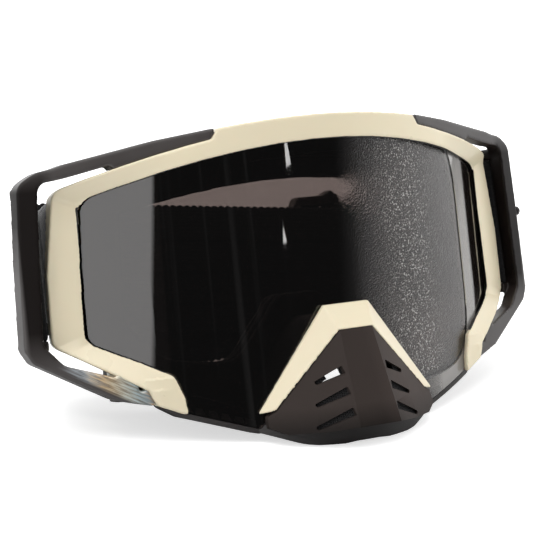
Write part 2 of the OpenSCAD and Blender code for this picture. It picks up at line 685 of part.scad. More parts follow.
// A band of thickness t along a path in plan
function band(path, t) =
    let (n = len(path),
         moved = function (side) [for (i = [0:n - 1])
            let (u = i > 0 ? unit(path[i] - path[i - 1]) : unit(path[1] - path[0]),
                 v = i < n - 1 ? unit(path[i + 1] - path[i]) : u,
                 a = [u[1], -u[0]], b = [v[1], -v[0]])
            path[i] + (a + b) / (1 + a * b) * side * t / 2])
    concat(moved(1), [for (i = [n - 1:-1:0]) moved(-1)[i]]);

fold_x = face_side - 6.4;
bend_x = fold_x - 15;
bend_fall = strap_fall - 5.5;
// Runs of the strap behind the foam, each from [x, height of its middle] to [x, height]
run_1 = [[-fold_x, strap_mid], [fold_x, strap_mid - strap_fall]];
run_2 = [[-inner_fold, strap_mid - inner_fall], [fold_x, strap_mid - strap_fall]];
run_3 = [[-inner_fold, strap_mid - inner_fall], [bend_x, strap_mid - bend_fall]];
run_4 = [[bend_x, strap_mid - bend_fall], [fold_x, strap_mid]];
function on_run(run, x) = run[0][1] + (run[1][1] - run[0][1]) * (x - run[0][0]) / (run[1][0] - run[0][0]);
// A strip along a run, from x0 to x1, its edges z0 and z1 above the run's middle
module ribbon(y0, y1, run, x0, x1, z0, z1) upright(y0, y1) polygon([[x0, on_run(run, x0) + z0],
    [x1, on_run(run, x1) + z0], [x1, on_run(run, x1) + z1], [x0, on_run(run, x0) + z1]]);
module layer(y, run) ribbon(y - strap_t / 2, y + strap_t / 2, run, run[0][0], run[1][0],
    -strap_width / 2, strap_width / 2);
// The strap turned back on itself at one end of a run
module fold_over(end, y0, y1) translate([end[0], (y0 + y1) / 2, end[1] - strap_width / 2]) intersection() {
    difference() {
        cylinder(r = (y1 - y0 + strap_t) / 2, h = strap_width);
        translate([0, 0, -1]) cylinder(r = (y1 - y0 - strap_t) / 2, h = strap_width + 2);
    }
    translate([end[0] < 0 ? -10 : 0, -10, 0]) cube([10, 20, strap_width]);
}
module strap_end(y) translate([0, 0, strap_low]) {
    translate([pin_x, pin_y, 0]) difference() {
        cylinder(r = pin_radius + pin_gap + strap_t, h = strap_width);
        translate([0, 0, -1]) cylinder(r = pin_radius + pin_gap, h = strap_width + 2);
    }
    linear_extrude(strap_width) polygon(band([[pin_x - 1.6, pin_y + 2], [pin_x - 1.6, pin_y + 9],
        [face_side + 3.4, back_y - 4], [face_side + 1, y - 1], [fold_x, y]], strap_t));
}
module strap() color([0.09, 0.09, 0.09]) leaned() union() {
    mirror([1, 0, 0]) strap_end(layer_1);
    layer(layer_1, run_1);
    fold_over(run_1[1], layer_1, layer_2);
    layer(layer_2, run_2);
    fold_over(run_2[0], layer_2, layer_3);
    layer(layer_3, run_3);
    layer(layer_3, run_4);
    strap_end(layer_3);
}
module grip_beads() color([0.2, 0.2, 0.21]) leaned() for (z = [-strap_width / 4, 0, strap_width / 4])
    ribbon(layer_1 - strap_t / 2 - bead_t, layer_1 - strap_t / 2, run_1, bead_end - fold_x, fold_x - bead_end,
        z - bead_width / 2, z + bead_width / 2);
adjuster_rail = 3.6;
adjuster_web = 5;
module strap_adjuster() color([0.15, 0.14, 0.14]) leaned() {
    gap = strap_t / 2 + slide_gap;
    edge = strap_width / 2 + slide_gap;
    x0 = adjuster_x - adjuster_length / 2;
    x1 = adjuster_x + adjuster_length / 2;
    for (x = [x0, x1 - adjuster_web])
        ribbon(layer_3 - gap - adjuster_bar, layer_3 - gap, run_3, x, x + adjuster_web, -edge - 1, edge + 1);
    ribbon(layer_3 + gap, layer_3 + gap + adjuster_bar, run_3, adjuster_x - adjuster_web / 2,
        adjuster_x + adjuster_web / 2, -edge - 1, edge + 1);
    for (z = [-edge - adjuster_rail, edge])
        ribbon(layer_3 - gap - adjuster_bar, layer_3 + gap + adjuster_bar, run_3, x0, x1,
            z, z + adjuster_rail);
}

main_frame();
front_bezel();
lens();
lens_gasket();
left_outrigger();
right_outrigger();
outrigger_screws();
nose_guard();
nose_trim();
foam_base();
foam_middle();
fleece_lining();
top_vent_foam();
left_vent_foam();
right_vent_foam();
left_strap_pin();
right_strap_pin();
strap_stud();
strap();
grip_beads();
strap_adjuster();
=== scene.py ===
"""Off-road riding goggles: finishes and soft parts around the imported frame."""

import json
import math

import bmesh
import bpy
import numpy as np
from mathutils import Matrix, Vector


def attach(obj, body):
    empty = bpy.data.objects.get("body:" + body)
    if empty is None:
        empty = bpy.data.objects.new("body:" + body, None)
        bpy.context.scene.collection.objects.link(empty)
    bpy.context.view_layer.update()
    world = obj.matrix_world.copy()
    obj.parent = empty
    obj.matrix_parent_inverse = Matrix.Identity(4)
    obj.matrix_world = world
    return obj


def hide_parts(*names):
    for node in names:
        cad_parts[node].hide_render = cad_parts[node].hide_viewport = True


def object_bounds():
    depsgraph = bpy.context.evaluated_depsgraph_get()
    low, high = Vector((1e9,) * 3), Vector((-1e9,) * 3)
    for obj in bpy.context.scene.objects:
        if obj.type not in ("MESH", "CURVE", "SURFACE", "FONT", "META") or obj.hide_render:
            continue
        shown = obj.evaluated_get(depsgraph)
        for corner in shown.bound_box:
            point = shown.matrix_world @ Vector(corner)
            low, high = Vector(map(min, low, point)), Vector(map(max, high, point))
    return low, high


bl_info = {
    "name": "Riding goggles",
    "version": (1, 0, 0),
    "blender": (4, 5, 0),
    "location": "3D Viewport > Sidebar > Goggles",
    "description": "Dresses the frame of a pair of riding goggles with finishes, foam and strap",
    "category": "Add Mesh",
}

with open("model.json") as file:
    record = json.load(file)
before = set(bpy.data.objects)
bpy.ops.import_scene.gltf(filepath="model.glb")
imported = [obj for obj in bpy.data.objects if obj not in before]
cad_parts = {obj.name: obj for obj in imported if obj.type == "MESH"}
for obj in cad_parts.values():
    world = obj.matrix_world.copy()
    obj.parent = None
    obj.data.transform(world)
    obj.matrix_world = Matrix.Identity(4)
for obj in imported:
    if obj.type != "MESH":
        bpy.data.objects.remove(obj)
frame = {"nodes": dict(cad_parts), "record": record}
CAD_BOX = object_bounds()
MM = 0.001

# the goggles are drawn upright, in millimetres, then leaned back and moved on to the floor
LEAN = math.radians(13)
SHIFT_Y, SHIFT_Z = -39.8494, -4.67698

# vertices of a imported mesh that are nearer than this, in metres, are one
SAME_PLACE = 2e-6


# ---------- settings that a user would change ----------
def colour_setting(name, description, default):
    return bpy.props.FloatVectorProperty(
        name=name, description=description, default=default, size=3, min=0, max=1, subtype="COLOR")


def length_setting(name, description, default):
    return bpy.props.FloatProperty(
        name=name, description=description, default=default, min=0, unit="LENGTH", subtype="DISTANCE")


class FinishSettings(bpy.types.PropertyGroup):
    """Colours of the mouldings, the lens and the soft parts."""

    bezel: colour_setting("Bezel", "Pale satin moulding of the bezel and the nose trim", (0.80, 0.712, 0.52))
    outrigger: colour_setting("Outriggers", "Dark moulding of the strap outriggers", (0.024, 0.018, 0.0165))
    guard: colour_setting("Nose guard", "Brown-black moulding of the nose guard", (0.038, 0.0295, 0.0264))
    rubber: colour_setting("Frame", "Soft moulded frame", (0.014, 0.0115, 0.011))
    lens: colour_setting("Lens", "Smoke tint of the lens", (0.100, 0.078, 0.071))
    foam: colour_setting("Foam", "Firm foam next to the frame", (0.012, 0.0115, 0.012))
    soft_foam: colour_setting("Soft foam", "Softer middle foam", (0.022, 0.021, 0.022))
    fleece: colour_setting("Fleece", "Fleece against the face", (0.008, 0.008, 0.0085))
    webbing: colour_setting("Webbing", "Elastic strap", (0.006, 0.006, 0.0065))
    bead: colour_setting("Grip beads", "Silicone on the strap", (0.018, 0.018, 0.02))
    thread: colour_setting("Thread", "Stitches of the strap", (0.03, 0.028, 0.027))


class SizeSettings(bpy.types.PropertyGroup):
    """Sizes of the strap, the foam and the moulded edges."""

    strap_width: length_setting("Strap width", "Width of the elastic strap", 45 * MM)
    strap_thickness: length_setting("Strap thickness", "Thickness of the elastic strap", 1.6 * MM)
    rib: length_setting("Rib pitch", "Distance between the ribs of the webbing", 1.35 * MM)
    scallop: length_setting("Scallop pitch", "Distance between the loops along the strap's edges", 2.7 * MM)
    scallop_depth: length_setting("Scallop depth", "How far the loops stand out", 0.7 * MM)
    foam_voxel: length_setting("Foam detail", "Mesh size of the foam layers", 1.5 * MM)
    foam_swell: length_setting("Foam swell", "Most that a foam layer may bulge", 0.35 * MM)
    edge_round: length_setting("Edge rounding", "Rounding of the small moulded edges", 0.35 * MM)
    shell_voxel: length_setting("Shell detail", "Mesh size of the moulded shells", 0.5 * MM)


class StageSettings(bpy.types.PropertyGroup):
    """Camera, floor and lights."""

    azimuth: bpy.props.FloatProperty(
        name="Azimuth", description="Direction of the camera round the goggles",
        default=math.radians(-27.49), subtype="ANGLE", unit="ROTATION")
    elevation: bpy.props.FloatProperty(
        name="Elevation", description="Height of the camera above the horizon",
        default=math.radians(12.63), subtype="ANGLE", unit="ROTATION")
    distance: length_setting("Camera distance", "From the camera to the goggles", 533.64 * MM)
    lens: bpy.props.FloatProperty(
        name="Focal length", description="Lens of the camera, in millimetres", default=112.06)
    floor: length_setting("Floor", "Half the width of the floor", 12)


FINISH, SIZES, STAGE = "goggle_finish", "goggle_sizes", "goggle_stage"


# ---------- node helpers ----------
class Tree:
    """Adds nodes to a node tree and joins them."""

    def __init__(self, tree):
        self.nodes, self.links = tree.nodes, tree.links

    def node(self, kind, **values):
        """A new node, with its settings and its unlinked inputs."""
        made = self.nodes.new(kind)
        for key, value in values.items():
            if hasattr(made, key):
                setattr(made, key, value)
            else:
                made.inputs[key.replace("_", " ")].default_value = value
        return made

    def link(self, start, end):
        self.links.new(start, end)

    def math(self, operation, *values):
        made = self.node("ShaderNodeMath", operation=operation)
        for place, value in enumerate(values):
            if isinstance(value, (int, float)):
                made.inputs[place].default_value = value
            else:
                self.link(value, made.inputs[place])
        return made.outputs[0]

    def product(self, first, *others):
        for value in others:
            first = self.math("MULTIPLY", first, value)
        return first

    def axes(self, vector):
        """The three numbers of a vector."""
        split = self.node("ShaderNodeSeparateXYZ")
        self.link(vector, split.inputs[0])
        return split.outputs["X"], split.outputs["Y"], split.outputs["Z"]

    def plane(self, x, y):
        """The vector x, y, 0."""
        joined = self.node("ShaderNodeCombineXYZ")
        self.link(x, joined.inputs["X"])
        self.link(y, joined.inputs["Y"])
        return joined.outputs[0]

    def noise(self, where, scale, detail, roughness=0.5):
        made = self.node("ShaderNodeTexNoise", Scale=scale, Detail=detail, Roughness=roughness)
        self.link(where, made.inputs["Vector"])
        return made.outputs["Fac"]

    def spread(self, value, low, high, to_low, to_high):
        """Takes low..high to to_low..to_high, and holds it there beyond."""
        made = self.node("ShaderNodeMapRange", From_Min=low, From_Max=high, To_Min=to_low, To_Max=to_high)
        self.link(value, made.inputs["Value"])
        return made.outputs["Result"]

    def ramp(self, value, stops):
        """The colour that value picks from stops, each a place from 0 to 1 and a colour."""
        made = self.node("ShaderNodeValToRGB")
        elements = made.color_ramp.elements
        while len(elements) < len(stops):
            elements.new(0.5)
        for element, (place, colour) in zip(elements, stops):
            element.position = place
            element.color = (*colour, 1)
        self.link(value, made.inputs["Fac"])
        return made.outputs["Color"]

    def mix(self, share, under, over):
        """The colour under, covered by the colour over as share goes from 0 to 1."""
        made = self.node("ShaderNodeMix", data_type="RGBA")
        self.link(share, made.inputs["Factor"])
        self.link(under, made.inputs[6])
        if isinstance(over, tuple):
            made.inputs[7].default_value = (*over, 1)
        else:
            self.link(over, made.inputs[7])
        return made.outputs[2]


class Shader(Tree):
    """Builds one material around a Principled shader."""

    def __init__(self, name, colour, roughness, **sockets):
        self.material = bpy.data.materials.new(name)
        self.material.use_nodes = True
        self.material.diffuse_color = (*colour, 1)
        super().__init__(self.material.node_tree)
        self.surface = self.nodes["Principled BSDF"]
        self.surface.inputs["Base Color"].default_value = (*colour, 1)
        self.surface.inputs["Roughness"].default_value = roughness
        for key, value in sockets.items():
            self.surface.inputs[key.replace("_", " ")].default_value = value
        self.where = self.node("ShaderNodeTexCoord").outputs["Object"]
        self.normal = None

    def drive(self, socket, value):
        self.link(value, self.surface.inputs[socket])

    def grain(self, scale, detail=3, roughness=0.5):
        """Noise through the piece, with scale features to the metre."""
        return self.noise(self.where, scale, detail, roughness)

    def tint(self, value, *stops):
        """Colours the surface along a ramp driven by value."""
        colour = self.ramp(value, stops)
        self.drive("Base Color", colour)
        return colour

    def rough(self, value, low, high):
        self.drive("Roughness", self.spread(value, 0.3, 0.7, low, high))

    def bump(self, height, distance):
        """Raises the surface by height times distance, on top of earlier bumps."""
        made = self.node("ShaderNodeBump", Strength=1.0, Distance=distance)
        self.link(height, made.inputs["Height"])
        if self.normal:
            self.link(self.normal, made.inputs["Normal"])
        self.normal = made.outputs["Normal"]
        self.drive("Normal", self.normal)

    def upright_axes(self):
        """Distance across and height, as drawn upright, in metres."""
        x, y, z = self.axes(self.where)
        foot = -(SHIFT_Y * math.sin(LEAN) + SHIFT_Z * math.cos(LEAN)) * MM
        height = self.math("ADD", self.math("MULTIPLY_ADD", y, math.sin(LEAN), foot),
                           self.math("MULTIPLY", z, math.cos(LEAN)))
        return x, height

    def wave(self, value, pitch):
        """A ridge every pitch along value, from 0 to 1."""
        return self.math("ABSOLUTE", self.math("SINE", self.math("MULTIPLY", value, math.pi / pitch)))


def shade(colour, factor):
    """The colour made darker, or paler when factor is above 1."""
    return tuple(min(1, c * factor) for c in colour)


def moulded(name, colour, roughness, grain, depth, **sockets):
    """Moulded plastic with fine grain, faint flow marks and handling shine."""
    s = Shader(name, colour, roughness, **sockets)
    s.tint(s.grain(18), (0.3, shade(colour, 0.93)), (0.7, shade(colour, 1.06)))
    s.rough(s.grain(60, 4), roughness - 0.06, roughness + 0.07)
    s.bump(s.grain(grain, 2), depth)
    return s


def fabric(name, colour, roughness, scale, depth, sheen=0.4):
    """Foam or fleece: uneven fibres with a soft sheen."""
    s = Shader(name, colour, roughness, Sheen_Weight=sheen, Sheen_Roughness=0.6, Specular_IOR_Level=0.25)
    fibres = s.grain(scale, 5, 0.7)
    s.tint(fibres, (0.3, shade(colour, 0.55)), (0.7, shade(colour, 1.7)))
    s.bump(fibres, depth)
    return s


# ---------- mesh helpers ----------
def in_scene(name, mesh):
    piece = bpy.data.objects.new(name, mesh)
    bpy.context.scene.collection.objects.link(piece)
    return piece


def new_piece(name, verts, faces, material, smooth=True):
    mesh = bpy.data.meshes.new(name)
    mesh.from_pydata([tuple(v) for v in verts], [], [tuple(f) for f in faces])
    mesh.update()
    mesh.materials.append(material)
    if smooth:
        mesh.shade_smooth()
    return in_scene(name, mesh)


def edited(mesh, change):
    """Runs a change on the mesh's bmesh."""
    bm = bmesh.new()
    bm.from_mesh(mesh)
    change(bm)
    bm.to_mesh(mesh)
    bm.free()


def weld(bm):
    bmesh.ops.remove_doubles(bm, verts=bm.verts, dist=SAME_PLACE)


def face_outward(bm):
    bmesh.ops.recalc_face_normals(bm, faces=bm.faces)


def vertex_rows(mesh, key="co"):
    """One row for each vertex: its place, or its normal."""
    rows = np.empty(len(mesh.vertices) * 3, np.float32)
    mesh.vertices.foreach_get(key, rows)
    return rows.reshape(-1, 3)


def place_vertices(mesh, points):
    mesh.vertices.foreach_set("co", points.astype(np.float32).ravel())
    mesh.update()


def baked(piece):
    """Turns the piece's modifiers into plain mesh."""
    bpy.context.view_layer.update()
    graph = bpy.context.evaluated_depsgraph_get()
    made = bpy.data.meshes.new_from_object(piece.evaluated_get(graph), depsgraph=graph)
    old = piece.data
    piece.modifiers.clear()
    piece.data = made
    made.name = piece.name
    if old.users == 0:
        bpy.data.meshes.remove(old)


def finish_node(node, material, rounding=0.0, angle=35):
    """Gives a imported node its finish, and rounds its moulded edges."""
    piece = frame["nodes"][node]
    piece.data.materials.clear()
    piece.data.materials.append(material)
    if rounding:
        joined = piece.modifiers.new("weld", "WELD")
        joined.merge_threshold = SAME_PLACE
        bevel = piece.modifiers.new("round", "BEVEL")
        bevel.width = rounding
        bevel.segments = 3
        bevel.limit_method = "ANGLE"
        bevel.angle_limit = math.radians(angle)
        bevel.harden_normals = True


def remeshed(node, name, material, voxel, passes):
    """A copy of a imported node, meshed evenly and smoothed in so many passes."""
    piece = in_scene(name, frame["nodes"][node].data.copy())
    edited(piece.data, weld)
    remesh = piece.modifiers.new("remesh", "REMESH")
    remesh.mode = "VOXEL"
    remesh.voxel_size = voxel
    melt = piece.modifiers.new("melt", "SMOOTH")
    melt.factor = 0.5
    melt.iterations = passes
    baked(piece)
    piece.data.materials.clear()
    piece.data.materials.append(material)
    return piece


def swell_up(piece, limit, frames=14):
    """Lets cloth pressure bulge the piece, no vertex by more than limit."""
    start = vertex_rows(piece.data)
    cloth = piece.modifiers.new("cloth", "CLOTH")
    cloth.settings.use_pressure = True
    cloth.settings.uniform_pressure_force = 4
    cloth.settings.mass = 0.1
    cloth.settings.tension_stiffness = 30
    cloth.settings.compression_stiffness = 30
    cloth.settings.bending_stiffness = 2
    cloth.settings.effector_weights.gravity = 0
    cloth.point_cache.frame_end = frames
    scene = bpy.context.scene
    for k in range(1, frames + 1):
        scene.frame_set(k)
    baked(piece)
    scene.frame_set(1)
    move = vertex_rows(piece.data) - start
    far = np.linalg.norm(move, axis=1, keepdims=True)
    place_vertices(piece.data, start + move * np.minimum(1, limit / np.maximum(far, 1e-9)))


def soft_layer(node, name, material, voxel, swell):
    """A foam or fleece layer: the node's solid, remeshed and swollen by cloth pressure."""
    piece = remeshed(node, name, material, voxel, passes=3)
    swell_up(piece, swell)
    subdivision = piece.modifiers.new("smooth", "SUBSURF")
    subdivision.levels = subdivision.render_levels = 1
    baked(piece)
    piece.data.shade_smooth()
    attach(piece, "goggles")
    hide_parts(node)


# ---------- upright frame, in which the goggles are drawn ----------
def leaned(points):
    """Points drawn upright, in millimetres, moved to where the goggles lean back, in metres."""
    p = np.asarray(points, float)
    y = p[:, 1] * math.cos(LEAN) + p[:, 2] * math.sin(LEAN) + SHIFT_Y
    z = -p[:, 1] * math.sin(LEAN) + p[:, 2] * math.cos(LEAN) + SHIFT_Z
    return np.stack([p[:, 0], y, z], 1) * MM


def upright(points):
    """The opposite of leaned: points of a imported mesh, in metres, as drawn upright in millimetres."""
    p = np.asarray(points, float) / MM - (0, SHIFT_Y, SHIFT_Z)
    y = p[:, 1] * math.cos(LEAN) - p[:, 2] * math.sin(LEAN)
    z = p[:, 1] * math.sin(LEAN) + p[:, 2] * math.cos(LEAN)
    return np.stack([p[:, 0], y, z], 1)


def upright_points(node):
    return upright(vertex_rows(frame["nodes"][node].data))


def upright_box(node):
    points = upright_points(node)
    return points.min(0), points.max(0)


def wrap_axis(node):
    """Depth of the upright axis that a node's outer face is wrapped about, from its own points."""
    points = upright_points(node)
    front = points[:, 1].min()
    sides = points[np.abs(points[:, 0]) > 0.8 * np.abs(points[:, 0]).max()]
    depth = sides[:, 1] - front
    return front + np.median((sides[:, 0] ** 2 + depth ** 2) / (2 * depth))


# The bezel's opening and its outer outline, upright in millimetres: half width, height in the
# middle, height where the sides turn inwards, and the foot of the slope
OPENING = (76.6, 99.4, 42.2, (55.5, 29.0))
OUTLINE = (84.1, 105.0, 41.8, (62.3, 25.4))
# how fast the brow falls away from the middle, by the square of the distance
BROW_CURVE = 0.00215


def beyond(points, outline):
    """How far outside an outline each upright point lies, in millimetres."""
    side, top, low, foot = outline
    x, z = np.abs(points[:, 0]), points[:, 2]
    # the slope starts a little outside the side, and ends in a toe that is 8 mm wide
    start, foot = np.array((side + 0.7, low)), np.array(foot)
    down = (foot - start) / np.linalg.norm(foot - start)
    below = (z - start[1]) * down[0] - (x - start[0]) * down[1]
    edge = np.maximum(np.maximum(x - side, z - (top - BROW_CURVE * x * x)), below)
    toe = (z < foot[1]) & (x < foot[0] + 8)
    return np.where(toe, x - foot[0] + 2.5, edge)


def moulded_shell(node, name, material, voxel, relax, reshape=None):
    """A hard moulding: the node's solid with its edges melted round, as a piece that replaces it.

    reshape takes the upright points and the mesh, and returns the points moved.
    """
    # the melting draws the walls in by about so many millimetres
    plump = 0.12
    piece = remeshed(node, name, material, voxel, relax)
    points = vertex_rows(piece.data) + vertex_rows(piece.data, "normal") * plump * MM
    if reshape:
        points = leaned(reshape(upright(points), piece.data))
    place_vertices(piece.data, points)
    piece.data.shade_smooth()
    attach(piece, body_of(node))
    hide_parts(node)


def body_of(node):
    """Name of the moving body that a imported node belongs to."""
    bodies = frame["record"]["behaviour"]["bodies"]
    return next(body for body, nodes in bodies.items() if node in nodes)


def between(value, low, high):
    """0 below low, 1 above high, and even in between; low may be the larger."""
    return np.clip((value - low) / (high - low), 0, 1)


# ---------- the strap's route ----------
def arc_points(centre, radius, start, end, steps):
    """Points [x, y] round a centre, from one angle to another, in degrees."""
    angles = np.radians(np.linspace(start, end, steps))
    return [(centre[0] + radius * math.cos(a), centre[1] + radius * math.sin(a)) for a in angles]


def strap_route(thickness, width):
    """The strap's middle line [x, y, z], upright in millimetres: from the stitched loop round the
    left pin, behind the foam, folded twice, to the loop round the right pin."""
    pin_lo, pin_hi = upright_box("right_strap_pin")
    pin = (pin_lo + pin_hi) / 2
    bead_hi = upright_box("grip_beads")[1]
    slider_lo, slider_hi = upright_box("strap_adjuster")
    strap_lo, strap_hi = upright_box("strap")
    foam_side = upright_box("foam_base")[1][0] + 0.4
    foam_back = upright_box("fleece_lining")[1][1]
    # depths of the three layers, and how far across the two folds lie
    layer_1 = bead_hi[1] + thickness / 2
    layer_2 = layer_1 + 2.5
    layer_3 = (slider_lo[1] + slider_hi[1]) / 2
    fold = bead_hi[0] + 8
    inner = 50.0
    bend = fold - 15
    # heights of the strap's middle at the pins, the folds and the bend
    high = strap_hi[2] - width / 2
    low = strap_lo[2] + width / 2
    right_fold = high - 14
    bend_mid = high - 8.5
    # radius of the loop round a pin, with a little room
    ring = (pin_hi[0] - pin_lo[0]) / 2 + thickness / 2 + 0.55

    def end(side, layer):
        """One end, from the doubled tail round the pin and back to the foam."""
        tail = [(pin[0] + 0.1, pin[1] + 8.2), (pin[0] + 0.6, pin[1] + 5)]
        turn = arc_points(pin, ring, 40, -220, 26)
        leg = [(pin[0] - 1.6, pin[1] + 5), (pin[0] - 1.75, pin[1] + 9),
               (foam_side + 3.4, foam_back - 4), (foam_side + 1, layer - 1), (fold, layer)]
        return [(side * x, y, high) for x, y in tail + turn + leg]

    def fold_over(side, x, y0, y1, mid):
        around = arc_points((side * x, (y0 + y1) / 2), (y1 - y0) / 2, -90, 90, 12)
        return [(x * side + side * abs(px - x * side), y, mid) for px, y in around]

    return (end(-1, layer_1)
            + fold_over(1, fold, layer_1, layer_2, right_fold)
            + fold_over(-1, inner, layer_2, layer_3, low)
            + [(bend, layer_3, bend_mid)]
            + end(1, layer_3)[::-1])


def length_along(points):
    """Length of the line up to each of its points."""
    return np.concatenate([[0], np.cumsum(np.linalg.norm(np.diff(points, axis=0), axis=1))])


def resampled(route, pitch):
    """The route at an even pitch, with its corners eased."""
    points = np.asarray(route, float)
    for _ in range(3):
        along = length_along(points)
        places = np.linspace(0, along[-1], int(round(along[-1] / pitch)) + 1)
        points = np.stack([np.interp(places, along, points[:, k]) for k in range(3)], 1)
        for _ in range(4):
            points[1:-1] = (points[:-2] + 2 * points[1:-1] + points[2:]) / 4
    return points


def ribbon_mesh(name, route, width, thickness, scallop, depth, material):
    """A woven strap along the route, with looped edges and a UV map in metres along and across."""
    count = len(route)
    step = np.gradient(route, axis=0)
    plan = step[:, :2] / np.linalg.norm(step[:, :2], axis=1, keepdims=True)
    normal = np.stack([plan[:, 1], -plan[:, 0]], 1)
    along = length_along(route)
    loops = depth * (np.abs(np.sin(np.pi * along / scallop)) - 1)
    # places across, closer at the two edges, where the strap gets thinner
    across = np.array([-1, -0.985, -0.95, -0.8, -0.6, -0.4, -0.2, 0, 0.2, 0.4, 0.6, 0.8, 0.95, 0.985, 1])
    thick = thickness / 2 * np.where(np.abs(across) == 1, 0.25, np.where(np.abs(across) > 0.98, 0.8, 1))
    rows = len(across)
    verts, uv = [], []
    for side in (1, -1):
        for k in range(count):
            reach = width / 2 + loops[k] * np.clip((np.abs(across) - 0.9) * 10, 0, 1)
            for row in range(rows):
                offset = side * thick[row]
                verts.append((route[k, 0] + normal[k, 0] * offset, route[k, 1] + normal[k, 1] * offset,
                              route[k, 2] + across[row] * reach[row]))
                uv.append((along[k] * MM, across[row] * width / 2 * MM))
    faces = []
    half = count * rows
    for k in range(count - 1):
        for row in range(rows - 1):
            a = k * rows + row
            faces.append((a, a + 1, a + rows + 1, a + rows))
            faces.append((half + a, half + a + rows, half + a + rows + 1, half + a + 1))
        for row in (0, rows - 1):
            a = k * rows + row
            rim = (a, a + rows, half + a + rows, half + a)
            faces.append(rim if row == 0 else rim[::-1])
    for k in (0, count - 1):
        for row in range(rows - 1):
            a = k * rows + row
            rim = (a, half + a, half + a + 1, a + 1)
            faces.append(rim if k == 0 else rim[::-1])
    piece = new_piece(name, leaned(verts), faces, material)
    layer = piece.data.uv_layers.new(name="UVMap")
    corners = np.empty(len(piece.data.loops), np.int32)
    piece.data.loops.foreach_get("vertex_index", corners)
    layer.data.foreach_set("uv", np.asarray(uv, np.float32)[corners].ravel())
    edited(piece.data, face_outward)
    return piece, along[-1] * MM


# ---------- stitches, as a Geometry Nodes tree ----------
def stitch_tree(material):
    """Lays a row of thread stitches along each edge path of the mesh that it is given."""
    tree = bpy.data.node_groups.new("stitch rows", "GeometryNodeTree")
    face = tree.interface
    face.new_socket("Geometry", in_out="INPUT", socket_type="NodeSocketGeometry")
    for label, default in (("Pitch", 3 * MM), ("Length", 2.1 * MM), ("Thread", 0.28 * MM)):
        face.new_socket(label, in_out="INPUT", socket_type="NodeSocketFloat").default_value = default
    face.new_socket("Geometry", in_out="OUTPUT", socket_type="NodeSocketGeometry")
    t = Tree(tree)
    given = t.node("NodeGroupInput").outputs
    out = t.node("NodeGroupOutput")
    curve = t.node("GeometryNodeMeshToCurve")
    spaced = t.node("GeometryNodeResampleCurve", mode="LENGTH")
    points = t.node("GeometryNodeInstanceOnPoints")
    tangent = t.node("GeometryNodeInputTangent")
    aim = t.node("FunctionNodeAlignRotationToVector", axis="Z")
    ball = t.node("GeometryNodeMeshUVSphere", Segments=8, Rings=6, Radius=1)
    size = t.node("ShaderNodeCombineXYZ")
    real = t.node("GeometryNodeRealizeInstances")
    finish = t.node("GeometryNodeSetMaterial", Material=material)
    for start, end in ((given["Geometry"], curve.inputs["Mesh"]),
                       (curve.outputs["Curve"], spaced.inputs["Curve"]),
                       (given["Pitch"], spaced.inputs["Length"]),
                       (spaced.outputs["Curve"], points.inputs["Points"]),
                       (ball.outputs["Mesh"], points.inputs["Instance"]),
                       (tangent.outputs["Tangent"], aim.inputs["Vector"]),
                       (aim.outputs["Rotation"], points.inputs["Rotation"]),
                       (given["Thread"], size.inputs["X"]),
                       (given["Thread"], size.inputs["Y"]),
                       (t.math("MULTIPLY", given["Length"], 0.5), size.inputs["Z"]),
                       (size.outputs[0], points.inputs["Scale"]),
                       (points.outputs["Instances"], real.inputs["Geometry"]),
                       (real.outputs["Geometry"], finish.inputs["Geometry"]),
                       (finish.outputs["Geometry"], out.inputs["Geometry"])):
        t.link(start, end)
    return tree


def stitched(name, paths, material, body, slot, **sizes):
    """Rows of stitches along paths, each a list of upright points in millimetres."""
    verts, edges = [], []
    for path in paths:
        edges += [(len(verts) + k, len(verts) + k + 1) for k in range(len(path) - 1)]
        verts += list(path)
    mesh = bpy.data.meshes.new(name)
    mesh.from_pydata([tuple(v) for v in leaned(verts)], edges, [])
    piece = in_scene(name, mesh)
    tree = stitch_tree(material)
    modifier = piece.modifiers.new("stitches", "NODES")
    modifier.node_group = tree
    for item in tree.interface.items_tree:
        if item.item_type == "SOCKET" and item.in_out == "INPUT" and item.name in sizes:
            modifier[item.identifier] = sizes[item.name]
    baked(piece)
    piece.data.shade_smooth()
    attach(piece, body)


